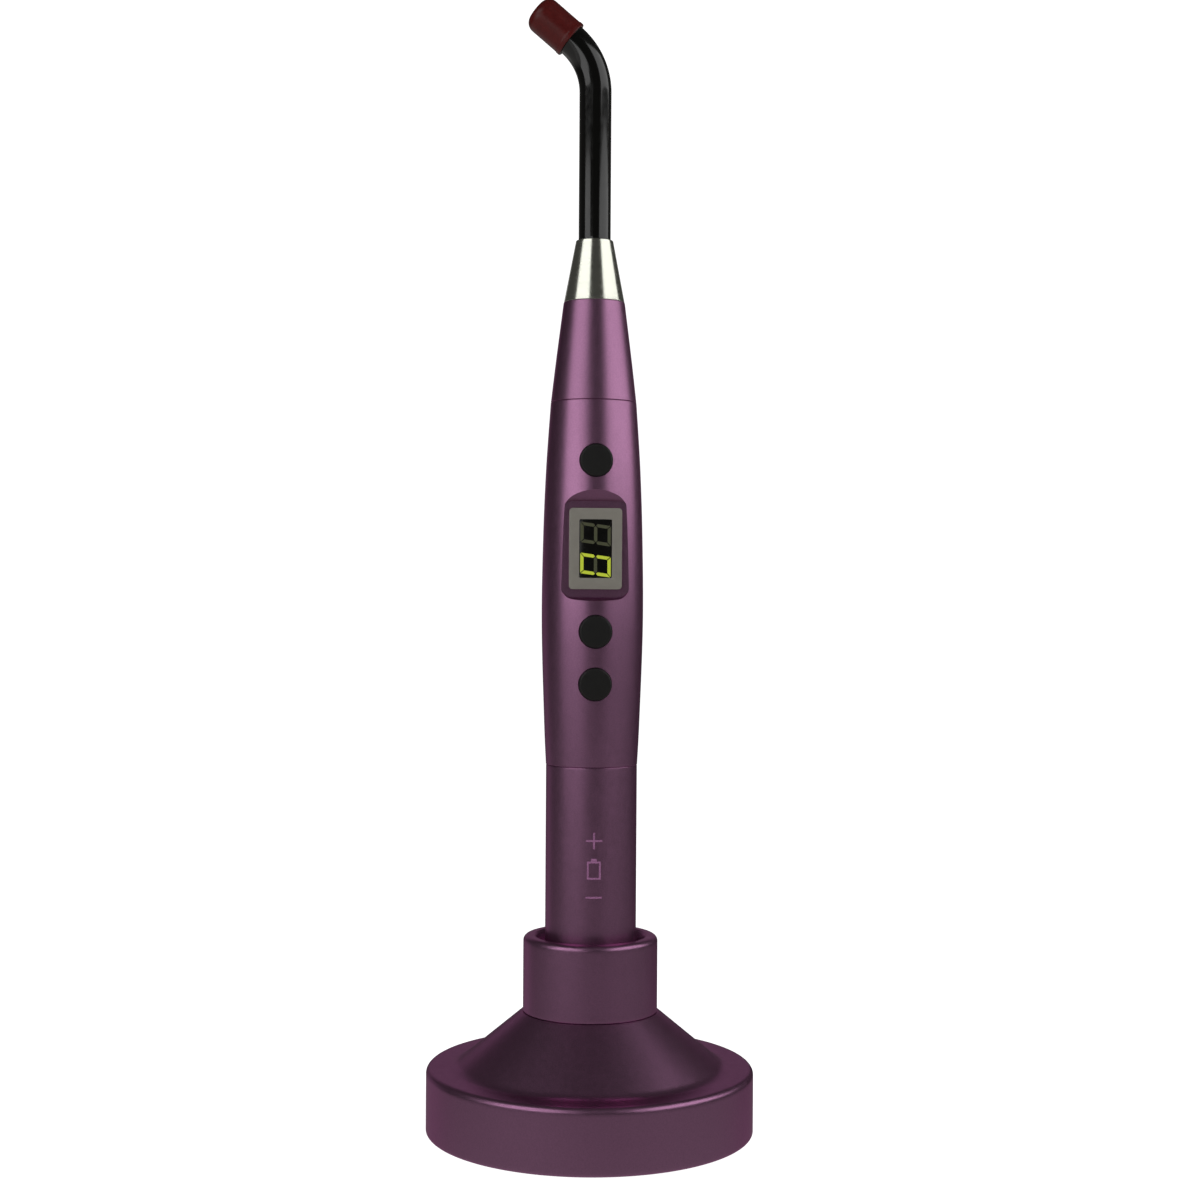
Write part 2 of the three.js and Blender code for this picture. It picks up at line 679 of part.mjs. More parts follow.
/** Where the guide's centreline turns: straight up, the bend, then the straight tip. */
function guideStations(bottom, tipLength) {
  const bendSteps = 8;
  const stations = [{ x: 0, z: bottom, angle: 0 }];
  for (let i = 0; i <= bendSteps; i += 1) {
    const angle = (i / bendSteps) * BEND_ANGLE;
    stations.push({
      x: -BEND_RADIUS * (1 - Math.cos(angle)),
      z: BEND_START + BEND_RADIUS * Math.sin(angle),
      angle,
    });
  }
  const last = stations[stations.length - 1];
  stations.push({
    x: last.x - tipLength * Math.sin(BEND_ANGLE),
    z: last.z + tipLength * Math.cos(BEND_ANGLE),
    angle: BEND_ANGLE,
  });
  return stations;
}

/** A solid round rod along the guide's centreline. */
function guideRod(radius, bottom, tipLength) {
  const sides = SMALL;
  const stations = guideStations(bottom, tipLength);
  const positions = [];
  for (const { x, z, angle } of stations) {
    for (let i = 0; i < sides; i += 1) {
      const turn = (i / sides) * 2 * Math.PI;
      const across = radius * Math.cos(turn);
      positions.push(x + across * Math.cos(angle), radius * Math.sin(turn), z + across * Math.sin(angle));
    }
  }
  const [first, last] = [stations[0], stations[stations.length - 1]];
  positions.push(first.x, 0, first.z, last.x, 0, last.z);

  const faces = [];
  const bottomCentre = stations.length * sides;
  const topRing = bottomCentre - sides;
  for (let i = 0; i < sides; i += 1) {
    const next = (i + 1) % sides;
    faces.push(bottomCentre, next, i);
    faces.push(bottomCentre + 1, topRing + i, topRing + next);
    for (let ring = 0; ring < topRing; ring += sides) {
      faces.push(ring + i, ring + next, ring + sides + next);
      faces.push(ring + i, ring + sides + next, ring + sides + i);
    }
  }
  const geometry = new THREE.BufferGeometry();
  geometry.setAttribute('position', new THREE.Float32BufferAttribute(positions, 3));
  geometry.setIndex(faces);
  geometry.computeVertexNormals();
  return geometry;
}

/** The metal end of the guide that plugs into the nose, with a groove for its O-ring. */
function guideFerrule() {
  const bore = CORE_RADIUS + 0.1;
  const groove = 3.35;
  return turned([
    [bore, 205.3],
    [GUIDE_RADIUS - 0.3, 205.3],
    [GUIDE_RADIUS, 205.6],
    [GUIDE_RADIUS, GUIDE_SEAL_HEIGHT - 0.5],
    [groove, GUIDE_SEAL_HEIGHT - 0.5],
    [groove, GUIDE_SEAL_HEIGHT + 0.5],
    [GUIDE_RADIUS, GUIDE_SEAL_HEIGHT + 0.5],
    [GUIDE_RADIUS, 220.4],
    [bore, 220.4],
  ], SMALL);
}

/** The black coat around the guide's core, from the nose's mouth to just short of the tip. */
function guideSleeve() {
  const bottom = 220.7;
  const short = 0.4;
  const outside = guideRod(GUIDE_RADIUS, bottom, TIP_LENGTH - short);
  const inside = guideRod(CORE_RADIUS + 0.1, bottom - PAST, TIP_LENGTH + PAST);
  return cut(outside, [inside]);
}

/** The soft protective cap over the tip, closed at its far end. */
function tipCap() {
  const bore = GUIDE_RADIUS + 0.1;
  const outer = 4.65;
  const ceiling = TIP_LENGTH + 0.4;
  return turned([
    [0, ceiling],
    [bore - 0.9, ceiling],
    [bore, ceiling - 0.65],
    [bore, 0],
    [outer + 0.12, 0],
    [outer + 0.12, 0.8],
    [outer, 1],
    ...soften([outer, CAP_LENGTH - 3], [outer, CAP_LENGTH - 0.3], [outer - 3, CAP_LENGTH - 0.15], 4),
    [0, CAP_LENGTH],
  ], SMALL);
}

function addGuide(group) {
  add(group, 'guide_seal', seal(3.77, 0.27, GUIDE_SEAL_HEIGHT, SMALL), blackRubber);
  add(group, 'guide_ferrule', guideFerrule(), steel);
  add(group, 'guide_core', guideRod(CORE_RADIUS, 205.6, TIP_LENGTH), clear);
  add(group, 'guide_sleeve', guideSleeve(), blackPlastic);
  const rim = guideStations(BEND_START, 0).at(-1);
  add(group, 'tip_cap', tipCap(), redSilicone, [rim.x, 0, rim.z], [0, -BEND_ANGLE, 0]);
}

// ---- The whole object -------------------------------------------------------------------------------

const curingLight = new THREE.Group();
const sections = { base: addBase, rear: addRear, handpiece: addHandpiece, guide: addGuide };
for (const [name, fill] of Object.entries(sections)) {
  const group = new THREE.Group();
  group.name = `${name}_group`;
  fill(group);
  curingLight.add(group);
}

export default curingLight;
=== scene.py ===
"""The looks of a pen-style dental curing light that stands in its round charging base.

Shapes are given in millimetres above the table, as the CAD model's are, and become metres when
their mesh is made. The buttons and the display face -Y, and the light guide bends towards -X.
"""

import json
import math

import bmesh
import bpy
from mathutils import Matrix, Vector


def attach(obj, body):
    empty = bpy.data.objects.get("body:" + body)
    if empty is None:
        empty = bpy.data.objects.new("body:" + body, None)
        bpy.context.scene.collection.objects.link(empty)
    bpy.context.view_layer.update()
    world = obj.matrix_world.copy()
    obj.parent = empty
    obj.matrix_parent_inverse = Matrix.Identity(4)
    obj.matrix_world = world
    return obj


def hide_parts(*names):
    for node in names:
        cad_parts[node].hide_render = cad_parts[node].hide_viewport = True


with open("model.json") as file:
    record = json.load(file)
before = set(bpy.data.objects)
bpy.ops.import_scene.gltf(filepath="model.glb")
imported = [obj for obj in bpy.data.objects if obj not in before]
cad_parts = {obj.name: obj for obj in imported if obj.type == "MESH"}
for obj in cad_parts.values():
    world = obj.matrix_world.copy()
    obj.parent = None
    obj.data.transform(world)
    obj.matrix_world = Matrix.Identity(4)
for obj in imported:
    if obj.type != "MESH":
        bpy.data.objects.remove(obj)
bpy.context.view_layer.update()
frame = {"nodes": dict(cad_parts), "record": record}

MM = 0.001
GAP = 0.3                    # between two pieces that touch
FINE = 192                   # sides of the large turned shells
MEDIUM = 96                  # sides of small turned pieces
COARSE = 48                  # sides of pins, screws and feet
ARC_STEP = math.radians(12)  # how far each facet of a rounded corner turns
SHARP = math.radians(32)     # steeper edges than this stay crisp
BEVEL_ANGLE = math.radians(40)  # steeper edges than this are rounded where a piece is softened
TO_FRONT = Matrix.Rotation(math.pi / 2, 4, "X")  # turns a shape's +Z towards the front, -Y

BASE_RADIUS = 40.6
BASE_WALL = 2.5
BASE_RIM = 0.3
DISK_TOP = 16.1
COLLAR_RADIUS = 16.7
COLLAR_BORE = 14.0
COLLAR_TOP = 48.5
COLLAR_SEAM = 29.75
COLLAR_SEAT = 16.3
THROAT_RADIUS = 12.5         # of the funnel inside the collar's lip
THROAT_TOP = 45.8
LINER_TOP = 44
SHOULDER = 27.5
COVER_BOTTOM = 1.2
COVER_TOP = 3.2
BOSS_CIRCLE = 34.5
BOSS_ANGLES = (-90, 30, 150)
SCREW_RADIUS = 1.0
SCREW_HEAD_RADIUS = 2.2
FOOT_CIRCLE = 29
FOOT_ANGLES = (45, 135, 225, 315)
FOOT_RADIUS = 5.0
JACK_HEIGHT = 7.15
JACK_RADIUS = 1.9
SOCKET_BORE = 11.7
SOCKET_FLOOR = 21.2
HOLDER_FOOT = 12.3           # the lower ends of the socket holder's skirt and of the pin sleeves
RING_PIN_OFFSET = 5.1

TAIL = 21.5
TAIL_BORE = 7.5
CONTACT_FACE = 22.0
BARREL_RADIUS = 11.31
BARREL_BORE = 9.6
LOWER_SEAM = 90.9
UPPER_SEAM = 180.8
NOSE_SEAM = 205.65
SEAM_GAP = 0.05              # the fine joint line that shows between two shells
BODY_BORE = 8.6
SPIGOT_RADIUS = 10.15
SPIGOT_END = 81.8
SEAL_HEIGHT = 87.3
FRONT_SPIGOT_RADIUS = 8.4
THREAD_PITCH = 1.5

BUTTON_RADIUS = 4.0
BUTTONS = {"start": (165.8, 12.5), "time": (124.1, 13.4), "mode": (111.3, 13.1)}
DISPLAY_HEIGHT = 144.3
FACET_DEPTH = 9.5
FACET_BOTTOM = 132.4
FACET_TOP = 155.9
FACET_RAMP = 0.85            # how much the pocket's upper wall rises for each millimetre of depth
WINDOW = (7.9, 14.2)
BEZEL = (12.9, 19.8)
BEZEL_FRONT = 10.6
WINDOW_FRONT = 10.4

GUIDE_RADIUS = 4.0
CORE_RADIUS = 3.0
NOSE_BORE = 4.15
NOSE_TOP = 221.1
GUIDE_SEAL_HEIGHT = 210
BEND_START = 258
BEND_RADIUS = 17
BEND_ANGLE = math.radians(50)
TIP_LENGTH = 10.0
CAP_LENGTH = 11.6


# ---- Camera ----------------------------------------------------------------------------

def make_camera():
    """A level camera, close in front and very slightly to the left, 58 mm lens on a 36 mm frame."""
    distance, height, aim_x = 0.473, 0.1341, -0.0005
    azimuth, roll = math.radians(-3.7), math.radians(-0.35)
    camera = bpy.data.objects.new("camera", bpy.data.cameras.new("camera"))
    bpy.context.scene.collection.objects.link(camera)
    camera.data.lens = 57.9
    camera.data.sensor_width = 36
    camera.data.clip_start = 0.01
    place = Vector((distance * math.sin(azimuth) + aim_x, -distance * math.cos(azimuth), height))
    facing = Matrix.Rotation(azimuth, 4, "Z") @ TO_FRONT
    camera.matrix_world = Matrix.Translation(place) @ facing @ Matrix.Rotation(-roll, 4, "Z")
    bpy.context.scene.camera = camera


make_camera()


# ---- Outlines --------------------------------------------------------------------------

def rounded(corners):
    """The closed outline through (x, y) or (x, y, fillet) corners, with each fillet as an arc."""
    outline = []
    for i, corner in enumerate(corners):
        here = Vector(corner[:2])
        fillet = corner[2] if len(corner) > 2 else 0
        before = Vector(corners[i - 1][:2]) - here
        after = Vector(corners[(i + 1) % len(corners)][:2]) - here
        if not fillet or not before.length or not after.length:
            outline.append(tuple(here))
            continue
        opening = before.angle(after)
        reach = min(fillet / math.tan(opening / 2), before.length * 0.499, after.length * 0.499)
        radius = reach * math.tan(opening / 2)
        middle = before.normalized() + after.normalized()
        centre = here + middle.normalized() * math.hypot(reach, radius)
        start = here + before.normalized() * reach - centre
        end = here + after.normalized() * reach - centre
        turn = math.atan2(start.x * end.y - start.y * end.x, start.dot(end))
        steps = max(2, math.ceil(abs(turn) / ARC_STEP))
        for step in range(steps + 1):
            point = centre + Matrix.Rotation(turn * step / steps, 2) @ start
            outline.append(tuple(point))
    return outline


def smooth_line(points, steps):
    """Points along the Catmull-Rom curve through a few (x, y) points."""
    line = []
    for i in range(steps + 1):
        place = i / steps * (len(points) - 1)
        k = min(int(place), len(points) - 2)
        t = place - k
        four = [Vector(points[max(0, min(len(points) - 1, k + j))]) for j in (-1, 0, 1, 2)]
        slope_in = (four[2] - four[0]) / 2
        slope_out = (four[3] - four[1]) / 2
        rise = four[2] - four[1]
        point = (
            four[1] + slope_in * t
            + (3 * rise - 2 * slope_in - slope_out) * t ** 2
            + (slope_in + slope_out - 2 * rise) * t ** 3
        )
        line.append(tuple(point))
    return line


def rectangle(width, height, corner):
    """A rectangle around the origin, with round corners."""
    x, y = width / 2, height / 2
    return rounded([(x, y, corner), (-x, y, corner), (-x, -y, corner), (x, -y, corner)])


def on_circle(radius, degrees):
    """The (x, y) of a point on a circle about the Z axis."""
    return radius * math.cos(math.radians(degrees)), radius * math.sin(math.radians(degrees))


# ---- Mesh making -----------------------------------------------------------------------

def with_ring_near_ends(outline):
    """The outline with a point near both ends of each long stretch, so that it is shaded evenly."""
    near, long = 0.6, 3.0
    points = []
    for i, end in enumerate(outline):
        if i:
            start = Vector(outline[i - 1])
            along = Vector(end) - start
            if along.length > long and min(start.x, end[0]) > 1e-6:
                step = along.normalized() * near
                points += [tuple(start + step), tuple(Vector(end) - step)]
        points.append(end)
    return points


def lathe(outline, sides=FINE):
    """A turned shape about +Z. The outline starts and ends on the axis, or is a closed ring."""
    shape = bmesh.new()
    rings = []
    for radius, height in with_ring_near_ends(outline):
        if radius < 1e-6:
            rings.append([shape.verts.new((0, 0, height))] * sides)
            continue
        ring = []
        for i in range(sides):
            angle = 2 * math.pi * i / sides
            ring.append(shape.verts.new((radius * math.cos(angle), radius * math.sin(angle), height)))
        rings.append(ring)
    on_axis = outline[0][0] < 1e-6
    pairs = list(zip(rings, rings[1:]))
    if not on_axis:
        pairs.append((rings[-1], rings[0]))
    for low, high in pairs:
        for i in range(sides):
            j = (i + 1) % sides
            corners = []
            for vertex in (low[i], low[j], high[j], high[i]):
                if vertex not in corners:
                    corners.append(vertex)
            if len(corners) > 2:
                shape.faces.new(corners)
    return shape


def prism(outline, low, high, holes=()):
    """A flat outline in X and Y, with optional holes, made solid from low to high along Z."""
    shape = bmesh.new()
    edges = []
    for loop in (outline, *holes):
        ring = [shape.verts.new((x, y, low)) for x, y in loop]
        edges += [shape.edges.new((ring[i - 1], ring[i])) for i in range(len(ring))]
    filled = bmesh.ops.triangle_fill(shape, edges=edges, use_beauty=True)
    faces = [item for item in filled["geom"] if isinstance(item, bmesh.types.BMFace)]
    raised = bmesh.ops.extrude_face_region(shape, geom=faces)["geom"]
    tops = [item for item in raised if isinstance(item, bmesh.types.BMVert)]
    bmesh.ops.translate(shape, verts=tops, vec=(0, 0, high - low))
    bmesh.ops.recalc_face_normals(shape, faces=shape.faces)
    return shape


def loft(outlines):
    """A closed shape through outlines of equal length, each a list of (x, y, z) points."""
    shape = bmesh.new()
    rings = [[shape.verts.new(point) for point in outline] for outline in outlines]
    count = len(rings[0])
    for low, high in zip(rings, rings[1:]):
        for i in range(count):
            shape.faces.new((low[i - 1], low[i], high[i], high[i - 1]))
    shape.faces.new(rings[0])
    shape.faces.new(rings[-1])
    bmesh.ops.recalc_face_normals(shape, faces=shape.faces)
    return shape


def moved(shape, matrix):
    """The same shape, put somewhere else by a matrix."""
    bmesh.ops.transform(shape, matrix=matrix, verts=shape.verts)
    return shape


def merged(shapes):
    """Several closed shapes in one mesh."""
    whole = bmesh.new()
    for shape in shapes:
        part = bpy.data.meshes.new("part")
        shape.to_mesh(part)
        shape.free()
        whole.from_mesh(part)
        bpy.data.meshes.remove(part)
    return whole


def mark_edges(mesh):
    """Smooth faces, with the steep edges kept crisp."""
    shape = bmesh.new()
    shape.from_mesh(mesh)
    for face in shape.faces:
        face.smooth = True
    for edge in shape.edges:
        edge.smooth = len(edge.link_faces) == 2 and edge.calc_face_angle(0) < SHARP
    shape.to_mesh(mesh)
    shape.free()


def as_object(name, shape):
    """The shape, still in millimetres, as a new object in metres."""
    bmesh.ops.recalc_face_normals(shape, faces=shape.faces)
    bmesh.ops.scale(shape, vec=(MM, MM, MM), verts=shape.verts)
    mesh = bpy.data.meshes.new(name)
    shape.to_mesh(mesh)
    shape.free()
    obj = bpy.data.objects.new(name, mesh)
    bpy.context.scene.collection.objects.link(obj)
    return obj


def bake_modifiers(obj):
    """Replaces the object's mesh with what its modifiers make of it."""
    bpy.context.view_layer.update()
    seen = obj.evaluated_get(bpy.context.evaluated_depsgraph_get())
    mesh = bpy.data.meshes.new_from_object(seen)
    obj.modifiers.clear()
    obj.data = mesh


def carve(obj, tools):
    """Cuts each tool shape out of the object."""
    cutters = []
    for i, tool in enumerate(tools):
        cutter = as_object(f"cutter_{i}", tool)
        modifier = obj.modifiers.new("cut", "BOOLEAN")
        modifier.operation = "DIFFERENCE"
        modifier.solver = "EXACT"
        modifier.object = cutter
        cutters.append(cutter)
    bake_modifiers(obj)
    for cutter in cutters:
        mesh = cutter.data
        bpy.data.objects.remove(cutter)
        bpy.data.meshes.remove(mesh)


def soften_edges(obj, width):
    """Breaks every crisp edge with a small round of the given width in millimetres."""
    modifier = obj.modifiers.new("edges", "BEVEL")
    modifier.width = width * MM
    modifier.segments = 2
    modifier.limit_method = "ANGLE"
    modifier.angle_limit = BEVEL_ANGLE
    bake_modifiers(obj)


def piece(name, shape, body, slot, node=None, tools=(), edge=0):
    """A finished visible piece: rides on its body, takes a slot's material, replaces its node."""
    obj = as_object(name, shape)
    if tools:
        carve(obj, tools)
    if edge:
        soften_edges(obj, edge)
    mark_edges(obj.data)
    obj.data.materials.clear()
    obj.data.materials.append(finishes[slot])
    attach(obj, body)
    if node:
        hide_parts(node)
    return obj


# ---- Materials -------------------------------------------------------------------------

DRIFT_DETAIL = 3.0           # how fine the noise is that drifts a colour or a gloss


class Finish:
    """A material around one Principled shader, with procedural detail added step by step."""

    def __init__(self, name, color, roughness, metallic=0.0):
        self.name = name
        self.material = bpy.data.materials.new(name)
        self.material.use_nodes = True
        self.tree = self.material.node_tree
        self.shader = self.tree.nodes["Principled BSDF"]
        self.color = color
        self.roughness = roughness
        self.set("Base Color", (*color, 1))
        self.set("Roughness", roughness)
        self.set("Metallic", metallic)
        self.height = None

    def set(self, name, value):
        """Gives one of the shader's inputs a plain value."""
        self.shader.inputs[name].default_value = value

    def node(self, kind, **values):
        """A new node, with some of its inputs or settings given by name."""
        node = self.tree.nodes.new(kind)
        for key, value in values.items():
            if key in node.inputs:
                node.inputs[key].default_value = value
            else:
                setattr(node, key, value)
        return node

    def noise(self, size, detail, stretch=(1, 1, 1)):
        """A noise value with grains of the given size in millimetres, stretched along an axis."""
        place = self.node("ShaderNodeTexCoord")
        scale = self.node("ShaderNodeMapping")
        scale.inputs["Scale"].default_value = [1 / s for s in stretch]
        grain = self.node("ShaderNodeTexNoise", Scale=1 / (size * MM), Detail=detail)
        self.tree.links.new(place.outputs["Object"], scale.inputs["Vector"])
        self.tree.links.new(scale.outputs["Vector"], grain.inputs["Vector"])
        return grain.outputs["Fac"]

    def ranged(self, value, low, high):
        """The value's middle half, spread from low to high."""
        spread = self.node("ShaderNodeMapRange")
        spread.inputs["From Min"].default_value = 0.3
        spread.inputs["From Max"].default_value = 0.7
        spread.inputs["To Min"].default_value = low
        spread.inputs["To Max"].default_value = high
        self.tree.links.new(value, spread.inputs["Value"])
        return spread.outputs["Result"]

    def vary_color(self, size, darkest):
        """Colour that drifts between itself and a darker tone."""
        mix = self.node("ShaderNodeMix", data_type="RGBA")
        mix.inputs[6].default_value = (*[c * darkest for c in self.color], 1)
        mix.inputs[7].default_value = (*self.color, 1)
        drift = self.noise(size, DRIFT_DETAIL)
        self.tree.links.new(self.ranged(drift, 0, 1), mix.inputs[0])
        self.tree.links.new(mix.outputs[2], self.shader.inputs["Base Color"])
        return self

    def vary_roughness(self, size, spread, stretch=(1, 1, 1)):
        """Gloss that drifts by the given spread on both sides of its middle value."""
        value = self.noise(size, DRIFT_DETAIL, stretch)
        low, high = self.roughness - spread, self.roughness + spread
        self.tree.links.new(self.ranged(value, low, high), self.shader.inputs["Roughness"])
        return self

    def bump(self, size, depth, detail=2.0, stretch=(1, 1, 1)):
        """Raised grain, of the given size and depth in millimetres."""
        bump = self.node("ShaderNodeBump")
        bump.inputs["Distance"].default_value = depth * MM
        self.tree.links.new(self.noise(size, detail, stretch), bump.inputs["Height"])
        if self.height:
            self.tree.links.new(self.height, bump.inputs["Normal"])
        self.height = bump.outputs["Normal"]
        self.tree.links.new(self.height, self.shader.inputs["Normal"])
        return self


def anodised_purple():
    """Bead-blasted aluminium under a purple anodised skin."""
    finish = Finish("purple_metal", (0.42, 0.195, 0.35), 0.35, metallic=1.0)
    finish.set("Specular Tint", (0.82, 0.45, 0.7, 1))
    finish.set("Coat Weight", 0.4)
    finish.set("Coat Roughness", 0.5)
    finish.vary_color(0.35, 0.86)
    finish.vary_roughness(1.2, 0.03)
    finish.bump(0.16, 0.0035, detail=1.0)
    finish.bump(6, 0.012, detail=1.0)
    return finish


def polished_chrome():
    """Turned and polished chrome, with faint lathe rings and small rub marks."""
    finish = Finish("chrome_nose", (0.74, 0.75, 0.66), 0.19, metallic=1.0)
    finish.vary_roughness(0.5, 0.04, stretch=(8, 8, 1))
    finish.bump(0.2, 0.0004, detail=1.0, stretch=(40, 40, 1))
    return finish


def guide_black():
    """Black glass-like plastic with a very slight waviness."""
    finish = Finish("black_guide", (0.003, 0.003, 0.0025), 0.13)
    finish.set("Coat Weight", 0.3)
    finish.set("Coat Roughness", 0.05)
    finish.vary_roughness(1.5, 0.03)
    finish.bump(9, 0.002, detail=1.0)
    return finish


def silicone():
    """Dark red silicone rubber with a fine moulded grain."""
    finish = Finish("red_silicone", (0.13, 0.0115, 0.0105), 0.34)
    finish.set("Specular IOR Level", 0.3)
    finish.vary_color(1.6, 0.8)
    finish.vary_roughness(0.9, 0.06)
    finish.bump(0.3, 0.004)
    return finish


def optical_glass():
    """Clear glass."""
    finish = Finish("glass", (0.95, 0.97, 0.98), 0.04)
    finish.set("Transmission Weight", 0.9)
    finish.set("IOR", 1.5)
    finish.vary_roughness(2.0, 0.02)
    return finish


def plain(name, color, roughness, metallic=0.0, grain=0.3, depth=0.004, drift=0.85):
    """A finish with fine grain, slight colour drift and uneven gloss."""
    finish = Finish(name, color, roughness, metallic)
    finish.vary_color(2.5, drift)
    finish.vary_roughness(1.5, min(0.06, roughness / 3))
    finish.bump(grain, depth)
    return finish


def circuit_board():
    """Green solder mask over the raised outlines of copper tracks."""
    finish = Finish("circuit_board", (0.012, 0.11, 0.045), 0.35)
    finish.vary_color(1.2, 0.55)
    finish.bump(0.8, 0.02, stretch=(1, 1, 6))
    return finish


def brushed(name, color, roughness):
    """Metal with fine turning or brushing lines around the axis."""
    finish = Finish(name, color, roughness, metallic=1.0)
    finish.vary_roughness(0.5, 0.06, stretch=(6, 6, 1))
    finish.bump(0.12, 0.001, stretch=(30, 30, 1))
    return finish


def glowing(name, color, strength):
    """A display segment."""
    finish = Finish(name, color, 0.3)
    finish.set("Emission Color", (*color, 1))
    finish.set("Emission Strength", strength)
    finish.vary_color(0.5, 0.85)
    return finish


def make_finishes():
    """The material of every slot, by the slot's name."""
    made = [
        anodised_purple(),
        polished_chrome(),
        guide_black(),
        silicone(),
        optical_glass(),
        plain("black_button", (0.003, 0.0029, 0.0023), 0.55, grain=0.12, depth=0.003),
        plain("bezel_grey", (0.39, 0.37, 0.325), 0.36, grain=0.2, depth=0.003, drift=0.92),
        plain("display_black", (0.006, 0.006, 0.005), 0.16, grain=3, depth=0.004),
        plain("black_plastic", (0.018, 0.018, 0.02), 0.45, grain=0.25, depth=0.01),
        plain("rubber", (0.016, 0.016, 0.016), 0.7, grain=0.2, depth=0.02),
        plain("component_black", (0.02, 0.02, 0.021), 0.5, grain=0.1, depth=0.004),
        plain("ceramic_white", (0.8, 0.77, 0.68), 0.45),
        plain("cell_wrap", (0.02, 0.1, 0.27), 0.3, grain=4, depth=0.03),
        brushed("steel", (0.58, 0.58, 0.59), 0.3),
        brushed("contact_gold", (0.85, 0.6, 0.22), 0.24),
        brushed("heatsink", (0.72, 0.73, 0.75), 0.35),
        circuit_board(),
    ]
    return {finish.name: finish.material for finish in made}


finishes = make_finishes()
lit_segment = glowing("segment_lit", (0.47, 0.55, 0.045), 0.55).material
# The unlit segments glow faintly too: painted light that brightens them, though an unlit segment gives
# no light of its own.
dark_segment = glowing("segment_dark", (0.1, 0.105, 0.06), 0.15).material
mark_paint = plain("mark_paint", (0.6, 0.25, 0.52), 0.5).material


def dress_cad_nodes():
    """Every carried-over node takes the finish of its slot."""
    slots = {part["node"]: part["material_slot"] for part in frame["record"]["subparts"]}
    for name, obj in frame["nodes"].items():
        material = finishes[slots[name]]
        if obj.data.materials:
            obj.data.materials[0] = material
        else:
            obj.data.materials.append(material)


# ---- Charging base ---------------------------------------------------------------------

def make_base_shell():
    """The disk and its cone, with the hole for the power inlet, and the collar set into it."""
    inner_wall = BASE_RADIUS - BASE_WALL
    underside = DISK_TOP - BASE_WALL
    outline = rounded([
        (inner_wall, BASE_RIM),
        (BASE_RADIUS, BASE_RIM, 0.5),
        (BASE_RADIUS, DISK_TOP, 1.5),
        (33.4, DISK_TOP, 4),
        (COLLAR_RADIUS + 0.25, COLLAR_SEAM - SEAM_GAP / 2, 0.1),
        (COLLAR_SEAT, COLLAR_SEAM - SEAM_GAP / 2),
        (COLLAR_SEAT, SHOULDER),
        (COLLAR_BORE + 3.5, SHOULDER),
        (COLLAR_BORE + 3.5, SHOULDER - 1.5),
        (32.0, underside),
        (inner_wall, underside),
    ])
    inlet_radius = JACK_RADIUS + 0.8
    inlet = moved(
        lathe([(0, 0), (inlet_radius, 0), (inlet_radius, 6), (0, 6)], COARSE),
        Matrix.Translation((0, BASE_RADIUS + 2, JACK_HEIGHT)) @ TO_FRONT,
    )
    piece("base_shell_fine", lathe(outline), "base", "purple_metal", "base_shell", tools=[inlet])
    collar = rounded([
        (COLLAR_BORE, SHOULDER),
        (COLLAR_SEAT - GAP, SHOULDER),
        (COLLAR_SEAT - GAP, COLLAR_SEAM + SEAM_GAP / 2),
        (COLLAR_RADIUS, COLLAR_SEAM + SEAM_GAP / 2, 0.25),
        (COLLAR_RADIUS, COLLAR_TOP, 1.5),
        (COLLAR_BORE, COLLAR_TOP, 0.4),
        (COLLAR_BORE - 0.5, COLLAR_TOP - 0.5, 0.3),
        (THROAT_RADIUS, THROAT_TOP, 0.4),
        (THROAT_RADIUS, LINER_TOP + GAP),
        (COLLAR_BORE, LINER_TOP + GAP),
    ])
    piece("base_collar_fine", lathe(collar), "base", "purple_metal", "base_collar")


def make_socket():
    """The tube that the handpiece stands in, and the holder that makes the socket's floor."""
    tube_radius = COLLAR_BORE - GAP
    rim_radius = COLLAR_BORE + 3
    skirt_bore = 10.5
    foot = SOCKET_FLOOR + SEAM_GAP
    underside = SOCKET_FLOOR - 1.2
    liner = rounded([
        (SOCKET_BORE, foot),
        (tube_radius, foot),
        (tube_radius, LINER_TOP, 0.4),
        (SOCKET_BORE + 0.8, LINER_TOP, 0.3),
        (SOCKET_BORE, LINER_TOP - 1.5, 0.5),
    ])
    piece("socket_liner_fine", lathe(liner, MEDIUM), "base", "black_plastic", "socket_liner")
    holder = rounded([
        (0, underside),
        (skirt_bore, underside),
        (skirt_bore, HOLDER_FOOT),
        (tube_radius, HOLDER_FOOT),
        (tube_radius, underside),
        (rim_radius, underside, 0.4),
        (rim_radius, SHOULDER - GAP, 0.4),
        (COLLAR_BORE, SHOULDER - GAP, 0.3),
        (COLLAR_BORE, SOCKET_FLOOR),
        (0, SOCKET_FLOOR),
    ])
    hole_radius = 1.9
    holes = [
        moved(
            lathe([(0, 19), (hole_radius, 19), (hole_radius, 22), (0, 22)], COARSE),
            Matrix.Translation((x, 0, 0)),
        )
        for x in (0, RING_PIN_OFFSET)
    ]
    piece("socket_holder_fine", lathe(holder, MEDIUM), "base", "black_plastic",
          "socket_holder", tools=holes)


